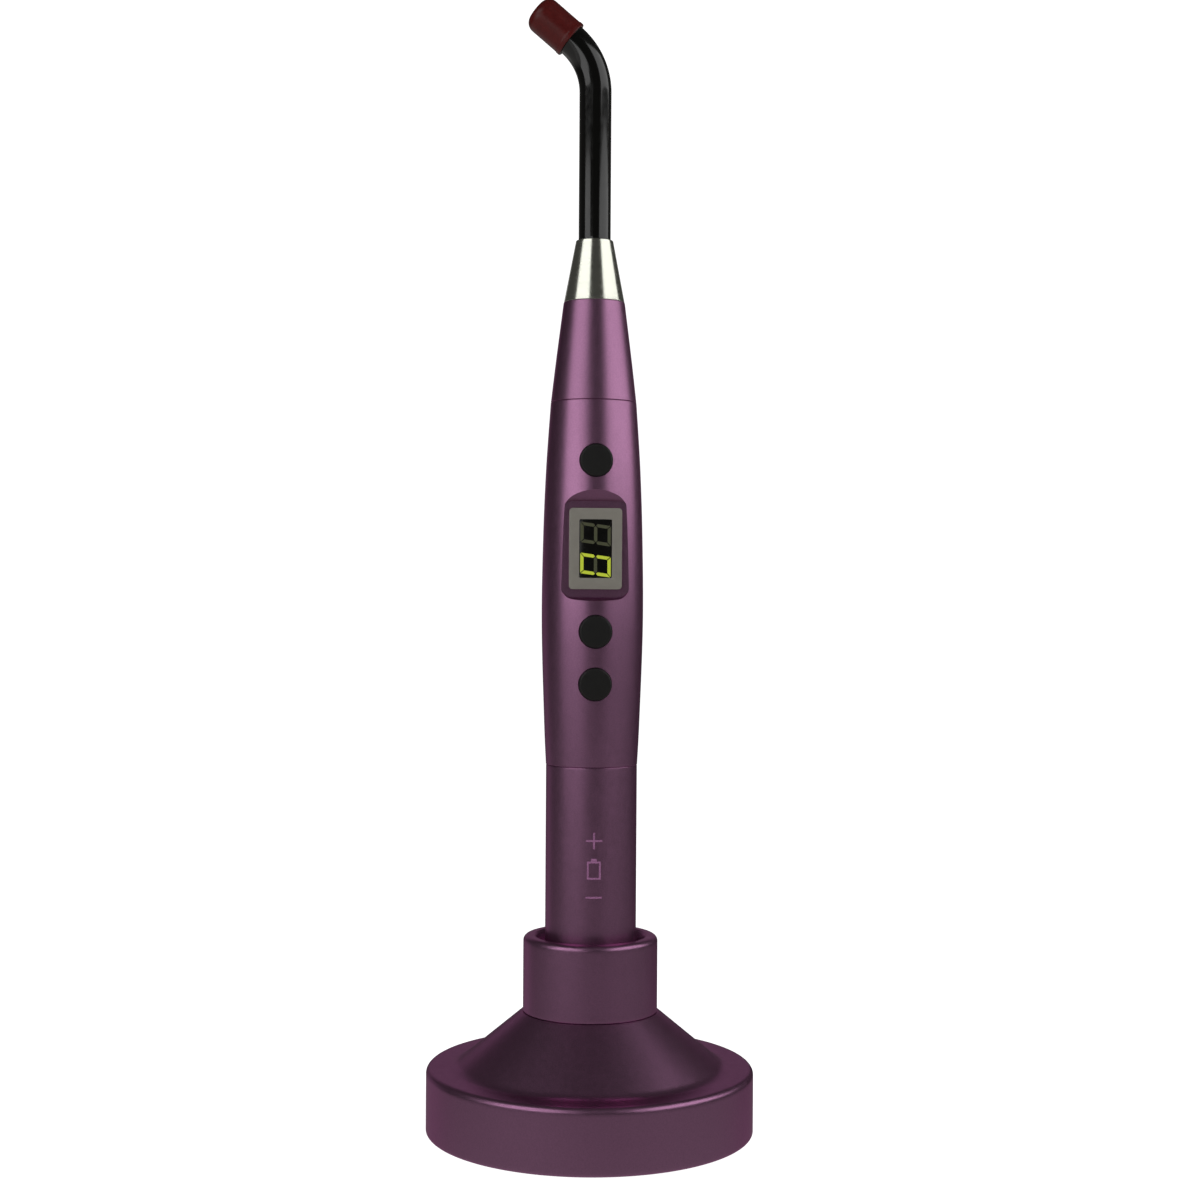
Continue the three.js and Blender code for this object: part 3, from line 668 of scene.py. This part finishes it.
def make_base_cover():
    """The bottom plate, with countersinks for its screws and pockets for the feet."""
    radius = BASE_RADIUS - BASE_WALL - GAP
    plate = lathe(rounded([
        (0, COVER_BOTTOM), (radius, COVER_BOTTOM, 0.4), (radius, COVER_TOP), (0, COVER_TOP),
    ]), MEDIUM)
    clearance = SCREW_RADIUS + 0.4
    sink_radius = SCREW_HEAD_RADIUS + 1.5
    pocket_radius = FOOT_RADIUS + GAP
    tools = []
    for angle in BOSS_ANGLES:
        sink = lathe([(0, 0), (sink_radius, 0.2), (clearance, 2.5), (clearance, 5), (0, 5)], COARSE)
        tools.append(moved(sink, Matrix.Translation((*on_circle(BOSS_CIRCLE, angle), 0))))
    for angle in FOOT_ANGLES:
        pocket = lathe([(0, 0), (pocket_radius, 0), (pocket_radius, 2), (0, 2)], COARSE)
        tools.append(moved(pocket, Matrix.Translation((*on_circle(FOOT_CIRCLE, angle), 0))))
    piece("base_cover_fine", plate, "base", "black_plastic", "base_cover", tools=tools)


def make_feet_and_screws():
    """Rubber feet, and countersunk screws with a cross slot in their heads."""
    for i, angle in enumerate(FOOT_ANGLES):
        foot = lathe(rounded([(0, 0), (FOOT_RADIUS, 0, 0.5), (FOOT_RADIUS, 1.7), (0, 1.7)]), COARSE)
        moved(foot, Matrix.Translation((*on_circle(FOOT_CIRCLE, angle), 0)))
        piece(f"foot_fine_{i + 1}", foot, "base", "rubber", f"foot_{i + 1}")
    head, end = 1.35, 11
    for i, angle in enumerate(BOSS_ANGLES):
        centre = Matrix.Translation((*on_circle(BOSS_CIRCLE, angle), 0))
        screw = lathe(rounded([
            (0, head),
            (SCREW_HEAD_RADIUS, head, 0.15),
            (SCREW_RADIUS, 2.75),
            (SCREW_RADIUS, end),
            (0, end),
        ]), COARSE)
        slots = []
        for turn in (0, 90):
            bar = prism([(-1.3, -0.25), (1.3, -0.25), (1.3, 0.25), (-1.3, 0.25)], 0.5, 1.9)
            slots.append(moved(bar, centre @ Matrix.Rotation(math.radians(turn + 20), 4, "Z")))
        piece(f"cover_screw_fine_{i + 1}", moved(screw, centre), "base", "steel",
              f"cover_screw_{i + 1}", tools=slots)


def make_inlet():
    """The power inlet's housing at the rear, with the round bore and pin of a small jack."""
    front = BASE_RADIUS - BASE_WALL - 2 * GAP
    outline = rounded([(-3.6, 4.2, 0.4), (3.6, 4.2, 0.4), (3.6, 10.1, 0.4), (-3.6, 10.1, 0.4)])
    length, pin_radius = 13, 0.6
    housing = moved(prism(outline, -front, length - front), TO_FRONT)
    bore = lathe([(pin_radius, 0), (JACK_RADIUS, 0), (JACK_RADIUS, 10), (pin_radius, 10)], COARSE)
    moved(bore, Matrix.Translation((0, front + 1, JACK_HEIGHT)) @ TO_FRONT)
    piece("power_inlet_fine", housing, "base", "black_plastic", "power_inlet", tools=[bore])


def make_charge_pins():
    """The two sprung charging pins in their sleeves."""
    sleeve_radius, sleeve_top = 1.6, 20.8
    bore = sleeve_radius - 0.45
    pin_radius, tip = 0.85, CONTACT_FACE - GAP
    for name, x in {"centre": 0, "ring": RING_PIN_OFFSET}.items():
        at = Matrix.Translation((x, 0, 0))
        sleeve = lathe(rounded([
            (0, HOLDER_FOOT), (sleeve_radius, HOLDER_FOOT), (sleeve_radius, sleeve_top, 0.2),
            (bore, sleeve_top), (bore, 13), (0, 13),
        ]), COARSE)
        piece(f"pin_sleeve_fine_{name}", moved(sleeve, at), "base", "contact_gold",
              f"pin_sleeve_{name}")
        pin = lathe(rounded([(0, 14.3), (pin_radius, 14.3), (pin_radius, tip, 0.7), (0, tip)]), COARSE)
        piece(f"charge_pin_fine_{name}", moved(pin, at), f"charge_pin_{name}", "contact_gold",
              f"charge_pin_{name}")


# ---- Handpiece shells ------------------------------------------------------------------

def make_rear_barrel():
    """The barrel that holds the cell."""
    top = LOWER_SEAM - SEAM_GAP / 2
    counterbore = SPIGOT_RADIUS + 0.2
    outline = rounded([
        (TAIL_BORE, TAIL),
        (BARREL_RADIUS, TAIL, 0.8),
        (BARREL_RADIUS, top, 0.12),
        (counterbore, top, 0.15),
        (counterbore, SPIGOT_END - 0.8),
        (BARREL_BORE, SPIGOT_END - 0.8),
        (BARREL_BORE, TAIL + 1.6),
        (TAIL_BORE, TAIL + 1.6),
    ])
    piece("rear_barrel_fine", lathe(outline), "rear", "purple_metal", "rear_barrel")


def make_tail():
    """The plug in the barrel's end, with a round contact and a ring contact in its face."""
    centre_radius, ring_bore, ring_radius = 2, 4, 6.2
    bottom = TAIL + 0.4
    groove_top, plug_top = 23.3, 25.2
    flange_radius, flange_foot = BARREL_BORE - GAP, 23.4
    plug = lathe(rounded([
        (centre_radius + GAP, bottom),
        (ring_bore - GAP, bottom, 0.15),
        (ring_bore - GAP, groove_top),
        (ring_radius + GAP, groove_top),
        (ring_radius + GAP, bottom, 0.15),
        (TAIL_BORE - GAP, bottom, 0.15),
        (TAIL_BORE - GAP, flange_foot),
        (flange_radius, flange_foot),
        (flange_radius, plug_top),
        (centre_radius + GAP, plug_top),
    ]), MEDIUM)
    piece("tail_plug_fine", plug, "rear", "black_plastic", "tail_plug")
    head_radius, head_foot, head_top = 3.4, plug_top + GAP, 26.1
    centre = lathe(rounded([
        (0, CONTACT_FACE),
        (centre_radius, CONTACT_FACE, 0.2),
        (centre_radius, head_foot),
        (head_radius, head_foot),
        (head_radius, head_top),
        (0, head_top),
    ]), COARSE)
    piece("tail_contact_centre_fine", centre, "rear", "contact_gold", "tail_contact_centre")
    ring = lathe(rounded([
        (ring_bore, CONTACT_FACE, 0.1),
        (ring_radius, CONTACT_FACE, 0.1),
        (ring_radius, groove_top - GAP),
        (ring_bore, groove_top - GAP),
    ]), MEDIUM)
    piece("tail_contact_ring_fine", ring, "rear", "contact_gold", "tail_contact_ring")


def ring_seal(name, ring_radius, section_radius, height, body, node):
    """A rubber ring of round section."""
    section = []
    steps = 16
    for i in range(steps):
        angle = 2 * math.pi * i / steps
        section.append((
            ring_radius + section_radius * math.cos(angle),
            height + section_radius * math.sin(angle),
        ))
    piece(name, lathe(section, MEDIUM), body, "rubber", node)


def facet_tool():
    """The display's milled pocket: a flat floor with round corners, and a long ramp at its top."""
    middle = (FACET_BOTTOM + FACET_TOP) / 2
    half_height = (FACET_TOP - FACET_BOTTOM) / 2
    half_width, corner = 8.5, 3
    outlines = []
    for depth, spread in ((0, 0), (3, 0.8), (9, 2.4)):
        corners = rectangle(2 * (half_width + spread), 2 * (half_height + spread), corner + spread)
        outlines.append([
            (x, -FACET_DEPTH - depth, middle + z + (FACET_RAMP * depth if z > 0 else 0))
            for x, z in corners
        ])
    return loft(outlines)


def front_drill(radius, height):
    """A cutter for a round hole in the body's front."""
    drill = lathe([(0, 5), (radius, 5), (radius, 20), (0, 20)], COARSE)
    return moved(drill, Matrix.Translation((0, 0, height)) @ TO_FRONT)


def make_body_shell():
    """The swelling body, with its threaded spigot, seal groove, pocket and button holes."""
    bottom = LOWER_SEAM + SEAM_GAP / 2
    top = UPPER_SEAM - SEAM_GAP / 2
    side = smooth_line([
        (BARREL_RADIUS + 0.05, bottom + 0.15), (11.86, 101.6), (12.6, 125.5), (12.39, 146.4),
        (11.74, 164.3), (10.67, top - 0.12),
    ], 72)
    groove_radius, groove_foot, groove_top = 9.35, SEAL_HEIGHT - 0.7, SEAL_HEIGHT + 0.7
    neck_bore, neck_top = 7, 187
    outline = [
        (BODY_BORE, SPIGOT_END),
        (SPIGOT_RADIUS - 0.3, SPIGOT_END),
        (SPIGOT_RADIUS, SPIGOT_END + 0.3),
        (SPIGOT_RADIUS, groove_foot),
        (groove_radius, groove_foot),
        (groove_radius, groove_top),
        (SPIGOT_RADIUS, groove_top),
        (SPIGOT_RADIUS, bottom),
        (BARREL_RADIUS - 0.1, bottom),
        *side,
        (10.55, top),
        (FRONT_SPIGOT_RADIUS, top),
        (FRONT_SPIGOT_RADIUS, neck_top),
        (neck_bore, neck_top),
        (neck_bore, 176.5),
        (BODY_BORE, 174.9),
    ]
    x, low, high = 5.5, DISPLAY_HEIGHT - 9, DISPLAY_HEIGHT + 9
    opening = [(-x, low), (x, low), (x, high), (-x, high)]
    tools = [facet_tool(), moved(prism(opening, 5, 15), TO_FRONT)]
    tools += [front_drill(BUTTON_RADIUS + 0.15, height) for height, _ in BUTTONS.values()]
    piece("body_shell_fine", lathe(outline), "handpiece", "purple_metal", "body_shell", tools=tools)


def make_spigot_thread():
    """The raised thread on the body's spigot, as a ridge wound around it."""
    turns, per_turn = 2.5, 72
    fade_steps = 20
    section = ((-0.05, -0.5), (0.12, -0.14), (0.12, 0.14), (-0.05, 0.5))
    rings = []
    for i in range(int(turns * per_turn) + 1):
        angle = 2 * math.pi * i / per_turn
        fade = min(1, i / fade_steps, (turns * per_turn - i) / fade_steps)
        height = SPIGOT_END + 0.9 + THREAD_PITCH * i / per_turn
        ring = []
        for out, up in section:
            radius = SPIGOT_RADIUS + (out * fade if out > 0 else out)
            ring.append((radius * math.cos(angle), radius * math.sin(angle), height + up))
        rings.append(ring)
    piece("spigot_thread", loft(rings), "handpiece", "purple_metal")


def make_front_shell():
    """The shell that tapers from the body to the nose."""
    bottom = UPPER_SEAM + SEAM_GAP / 2
    top = NOSE_SEAM - SEAM_GAP / 2
    socket = FRONT_SPIGOT_RADIUS + 0.2
    side = smooth_line([(10.63, bottom + 0.12), (9.44, 191.2), (7.64, top - 0.12)], 32)
    mouth, bore = 6.2, 6.9
    outline = [
        (socket, bottom),
        (10.52, bottom),
        *side,
        (7.5, top),
        (mouth, top),
        (mouth, 199.9),
        (bore, 199.2),
        (bore, 188),
        (socket, 187.3),
    ]
    piece("front_shell_fine", lathe(outline), "handpiece", "purple_metal", "front_shell")


def make_nose():
    """The chrome cone that the light guide plugs into."""
    bottom = NOSE_SEAM + SEAM_GAP / 2
    stem_radius, stem_foot = 5.9, 199.9
    outline = rounded([
        (NOSE_BORE, stem_foot),
        (stem_radius, stem_foot),
        (stem_radius, bottom),
        (7.56, bottom, 0.1),
        (4.62, NOSE_TOP, 0.55),
        (NOSE_BORE, NOSE_TOP, 0.1),
    ])
    piece("nose_cone_fine", lathe(outline), "handpiece", "chrome_nose", "nose_cone")


# ---- Buttons and display ---------------------------------------------------------------

def make_buttons():
    """Three round buttons with a slightly domed face, each held in by a flange behind its hole."""
    flange_radius, flange_back, flange_front = 4.7, 5.9, 6.7
    for name, (height, face) in BUTTONS.items():
        cap = lathe(rounded([
            (0, flange_back),
            (flange_radius, flange_back),
            (flange_radius, flange_front),
            (BUTTON_RADIUS, flange_front),
            (BUTTON_RADIUS, face, 0.55),
            (0, face + 0.15),
        ]), MEDIUM)
        moved(cap, Matrix.Translation((0, 0, height)) @ TO_FRONT)
        piece(f"{name}_button_fine", cap, f"{name}_button", "black_button", f"{name}_button")


def front_plate(outline, back, front, holes=()):
    """A plate on the front of the body, centred on the display."""
    place = Matrix.Translation((0, 0, DISPLAY_HEIGHT)) @ TO_FRONT
    return moved(prism(outline, back, front, holes), place)


def make_display():
    """The grey bezel and the dark window in it."""
    opening = rectangle(WINDOW[0] + 0.1, WINDOW[1] + 0.1, 0.35)
    bezel = front_plate(rectangle(*BEZEL, 0.9), FACET_DEPTH + 0.02, BEZEL_FRONT, [opening])
    piece("display_bezel_fine", bezel, "handpiece", "bezel_grey", "display_bezel", edge=0.25)
    window = front_plate(rectangle(*WINDOW, 0.3), FACET_DEPTH, WINDOW_FRONT)
    piece("display_window_fine", window, "handpiece", "display_black", "display_window", edge=0.05)


def segment_outlines():
    """The seven bars of a digit lying on its side, as (x, z) outlines around its centre.

    The digit's own height runs along X. Its corners are mitred, and the last bar is the middle one.
    """
    end, side = 3.72, 2.5        # the digit's outer half sizes
    thick, gap = 0.8, 0.13
    half = thick / 2
    end_bar = [
        (end, gap - side), (end, side - gap), (end - thick, side - thick - gap),
        (end - thick, thick + gap - side),
    ]
    side_bar = [
        (gap, side - half), (half + gap, side), (end - gap, side), (end - thick - gap, side - thick),
        (half + gap, side - thick),
    ]
    middle_bar = [
        (0, half + gap - side), (half, thick + gap - side), (half, side - thick - gap),
        (0, side - half - gap), (-half, side - thick - gap), (-half, thick + gap - side),
    ]
    bars = [[(x * way, z) for x, z in end_bar] for way in (1, -1)]
    bars += [[(x * across, z * up) for x, z in side_bar] for across in (1, -1) for up in (1, -1)]
    return [*bars, middle_bar]


def make_digits():
    """Two digits, one above the other: the upper one is unlit, and the lower one shows a zero."""
    slant = -0.14
    face = WINDOW_FRONT + 0.01
    bars = segment_outlines()
    lit, dark = [], []
    for centre, shows_zero in ((3.55, False), (-4.0, True)):
        for bar in bars:
            outline = [(x, z + centre + slant * x) for x, z in bar]
            group = lit if shows_zero and bar is not bars[-1] else dark
            group.append(front_plate(outline, face, face + 0.04))
    groups = {"digits_lit": (lit, lit_segment), "digits_dark": (dark, dark_segment)}
    for name, (shapes, material) in groups.items():
        obj = piece(name, merged(shapes), "handpiece", "display_black")
        obj.data.materials[0] = material


def barrel_bar(x_low, x_high, z_low, z_high):
    """A thin rectangular patch that lies on the rear barrel's front."""
    steps = 10
    lift = 0.02                  # how far it stands above the barrel, and reaches below its face
    outlines = []
    for i in range(steps + 1):
        angle = (x_low + (x_high - x_low) * i / steps) / BARREL_RADIUS
        ring = []
        for rise, z in ((-lift, z_low), (lift, z_low), (lift, z_high), (-lift, z_high)):
            radius = BARREL_RADIUS + rise
            ring.append((radius * math.sin(angle), -radius * math.cos(angle), z))
        outlines.append(ring)
    return loft(outlines)


def make_barrel_marks():
    """Plain polarity marks for the cell inside: plus, a cell outline, minus."""
    line = 0.45
    half = line / 2
    plus, minus, arm = 73.2, 59.4, 2
    foot, top, side = 63.8, 68.2, 1.7        # the cell's outline
    bars = [
        (-arm, arm, plus - half, plus + half),
        (-half, half, plus + half, plus + arm),
        (-half, half, plus - arm, plus - half),
        (-side, side, foot, foot + line),
        (-side, side, top - line, top),
        (-side, -side + line, foot + line, top - line),
        (side - line, side, foot + line, top - line),
        (-0.7, 0.7, top, top + 0.7),
        (-arm, arm, minus - half, minus + half),
    ]
    obj = piece("barrel_marks", merged([barrel_bar(*bar) for bar in bars]), "rear", "purple_metal")
    obj.data.materials[0] = mark_paint


# ---- Light guide -----------------------------------------------------------------------

def guide_stations(bottom, tip_length):
    """Where the guide's centreline goes: (x, z, lean) straight up, around the bend, to the tip.

    A second station close to each straight end keeps the shading of the long faces even.
    """
    bend_steps = 28
    near = 1.0
    stations = [(0, bottom, 0), (0, bottom + near, 0), (0, BEND_START - near, 0)]
    for i in range(bend_steps + 1):
        lean = BEND_ANGLE * i / bend_steps
        x = -BEND_RADIUS * (1 - math.cos(lean))
        stations.append((x, BEND_START + BEND_RADIUS * math.sin(lean), lean))
    x, z, lean = stations[-1]
    for length in (tip_length - near, tip_length):
        stations.append((x - length * math.sin(lean), z + length * math.cos(lean), lean))
    return stations


def guide_ring(station, radius):
    """A circle across the guide's centreline."""
    x, z, lean = station
    sides = 64
    ring = []
    for i in range(sides):
        angle = 2 * math.pi * i / sides
        across = radius * math.cos(angle)
        ring.append((
            x + across * math.cos(lean),
            radius * math.sin(angle),
            z + across * math.sin(lean),
        ))
    return ring


def bent_tube(outer, inner, bottom, tip_length):
    """A tube along the guide: up its outside and back down its bore, closed on itself."""
    stations = guide_stations(bottom, tip_length)
    rings = [guide_ring(station, outer) for station in stations]
    rings += [guide_ring(station, inner) for station in reversed(stations)]
    shape = bmesh.new()
    made = [[shape.verts.new(point) for point in ring] for ring in rings]
    for k, low in enumerate(made):
        high = made[(k + 1) % len(made)]
        for i in range(len(low)):
            shape.faces.new((low[i - 1], low[i], high[i], high[i - 1]))
    return shape


def make_guide():
    """The glass core, its black sleeve, and the steel ferrule that sits in the nose."""
    bore = CORE_RADIUS + 0.05
    sleeve_foot, core_foot = 220.7, 205.6
    sleeve = bent_tube(GUIDE_RADIUS, bore, sleeve_foot, TIP_LENGTH - 0.4)
    piece("guide_sleeve_fine", sleeve, "light_guide", "black_guide", "guide_sleeve", edge=0.2)
    stations = guide_stations(core_foot, TIP_LENGTH)
    core = loft([guide_ring(station, CORE_RADIUS) for station in stations])
    piece("guide_core_fine", core, "light_guide", "glass", "guide_core", edge=0.15)
    foot, top = 205.3, 220.6
    groove_radius = 3.35
    groove_foot, groove_top = GUIDE_SEAL_HEIGHT - 0.5, GUIDE_SEAL_HEIGHT + 0.5
    ferrule = lathe(rounded([
        (bore, foot),
        (GUIDE_RADIUS, foot, 0.3),
        (GUIDE_RADIUS, groove_foot),
        (groove_radius, groove_foot),
        (groove_radius, groove_top),
        (GUIDE_RADIUS, groove_top),
        (GUIDE_RADIUS, top, 0.1),
        (bore, top),
    ]), MEDIUM)
    piece("guide_ferrule_fine", ferrule, "light_guide", "steel", "guide_ferrule")


def make_tip_cap():
    """The silicone cap over the guide's tip, with a thin rim and a round end."""
    bore = GUIDE_RADIUS + 0.05
    outer = 4.65
    rim = outer + 0.12
    ceiling = TIP_LENGTH + 0.4
    outline = rounded([
        (0, ceiling),
        (bore - 0.9, ceiling),
        (bore, ceiling - 0.65),
        (bore, 0, 0.1),
        (rim, 0, 0.25),
        (rim, 1.0, 0.3),
        (outer, 1.3, 0.3),
        (outer, CAP_LENGTH - 0.35, 3.1),
        (0, CAP_LENGTH),
    ])
    x, z, lean = guide_stations(BEND_START, 0)[-1]
    place = Matrix.Translation((x, 0, z)) @ Matrix.Rotation(-lean, 4, "Y")
    piece("tip_cap_fine", moved(lathe(outline, MEDIUM), place), "tip_cap", "red_silicone", "tip_cap")


# ---- Studio ----------------------------------------------------------------------------

def aimed(position, target):
    """A place for a light, so that it shines from position to target."""
    direction = Vector(target) - Vector(position)
    return Matrix.Translation(position) @ direction.to_track_quat("-Z", "Y").to_matrix().to_4x4()


def softbox(name, azimuth, distance, low, high, width, strength):
    """An upright soft light, from low to high, at an azimuth from the front."""
    light = bpy.data.lights.new(name, "AREA")
    light.shape = "RECTANGLE"
    light.size = width
    light.size_y = high - low
    light.energy = strength * width * (high - low)
    obj = bpy.data.objects.new(name, light)
    bpy.context.scene.collection.objects.link(obj)
    angle = math.radians(azimuth)
    middle = (low + high) / 2
    position = (distance * math.sin(angle), -distance * math.cos(angle), middle)
    obj.matrix_world = aimed(position, (0, 0, middle))
    obj.visible_camera = False


def make_lights():
    """Tall softboxes in front, left and right, that fade towards the table, and one behind."""
    softbox("left_low", -52, 0.62, 0.02, 0.14, 0.58, 0.5)
    softbox("left_main", -47, 0.62, 0.14, 0.32, 0.69, 4.4)
    softbox("left_middle", -57, 0.62, 0.32, 0.385, 0.46, 4.4)
    softbox("left_high", -53, 0.62, 0.45, 0.85, 0.69, 4.4)
    softbox("right_low", 68, 0.62, 0.06, 0.2, 1.0, 0.3)
    softbox("right_main", 68, 0.62, 0.2, 0.40, 1.02, 4.3)
    softbox("right_high", 71, 0.62, 0.44, 0.85, 0.86, 4.3)
    softbox("behind", 180, 0.9, 0.12, 0.5, 0.9, 0.7)
    softbox("left_edge", -142, 0.9, -0.2, 0.17, 0.5, 0.5)


def make_floor():
    """A plain pale floor that sweeps up into a wall all round."""
    profile = smooth_line([
        (0, 0), (300, 0), (900, 0), (1400, 60), (1800, 280), (2000, 700), (2050, 1500), (2060, 4000),
    ], 48)
    shape = bmesh.new()
    rings = []
    for radius, height in profile:
        ring = []
        for i in range(MEDIUM):
            angle = 2 * math.pi * i / MEDIUM
            ring.append(shape.verts.new((radius * math.cos(angle), radius * math.sin(angle), height)))
        rings.append(ring)
    for low, high in zip(rings, rings[1:]):
        for i in range(MEDIUM):
            shape.faces.new((low[i - 1], low[i], high[i], high[i - 1]))
    bmesh.ops.remove_doubles(shape, verts=shape.verts, dist=0.01)
    floor = as_object("studio_floor", shape)
    for polygon in floor.data.polygons:
        polygon.use_smooth = True
    paper = Finish("pale_paper", (0.9, 0.9, 0.9), 0.9)
    paper.set("Emission Color", (1, 1, 1, 1))
    paper.set("Emission Strength", 1.0)
    paper.set("Specular IOR Level", 0.0)
    floor.data.materials.append(paper.material)
    floor.visible_glossy = False
    floor.visible_diffuse = False


def make_world():
    """Dim air, a little brighter from below the table's height than from above."""
    world = bpy.data.worlds.new("studio")
    world.use_nodes = True
    tree = world.node_tree
    background = tree.nodes["Background"]
    place = tree.nodes.new("ShaderNodeTexCoord")
    axes = tree.nodes.new("ShaderNodeSeparateXYZ")
    rise = tree.nodes.new("ShaderNodeMapRange")
    rise.inputs["From Min"].default_value = -0.32
    rise.inputs["From Max"].default_value = -0.16
    rise.inputs["To Min"].default_value = 0.36
    rise.inputs["To Max"].default_value = 0.05
    tree.links.new(place.outputs["Generated"], axes.inputs["Vector"])
    tree.links.new(axes.outputs["Z"], rise.inputs["Value"])
    tree.links.new(rise.outputs["Result"], background.inputs["Strength"])
    background.inputs["Color"].default_value = (1, 0.98, 0.95, 1)
    bpy.context.scene.world = world
    bpy.context.scene.view_settings.view_transform = "Standard"


# ---- The whole scene -------------------------------------------------------------------

dress_cad_nodes()

make_base_shell()
make_socket()
make_base_cover()
make_feet_and_screws()
make_inlet()
make_charge_pins()

make_rear_barrel()
make_tail()
ring_seal("thread_seal_fine", 9.85, 0.4, SEAL_HEIGHT, "thread_seal", "thread_seal")
make_body_shell()
make_spigot_thread()
make_front_shell()
make_nose()

make_buttons()
make_display()
make_digits()
make_barrel_marks()

ring_seal("guide_seal_fine", 3.72, 0.32, GUIDE_SEAL_HEIGHT, "guide_seal", "guide_seal")
make_guide()
make_tip_cap()

make_floor()
make_lights()
make_world()
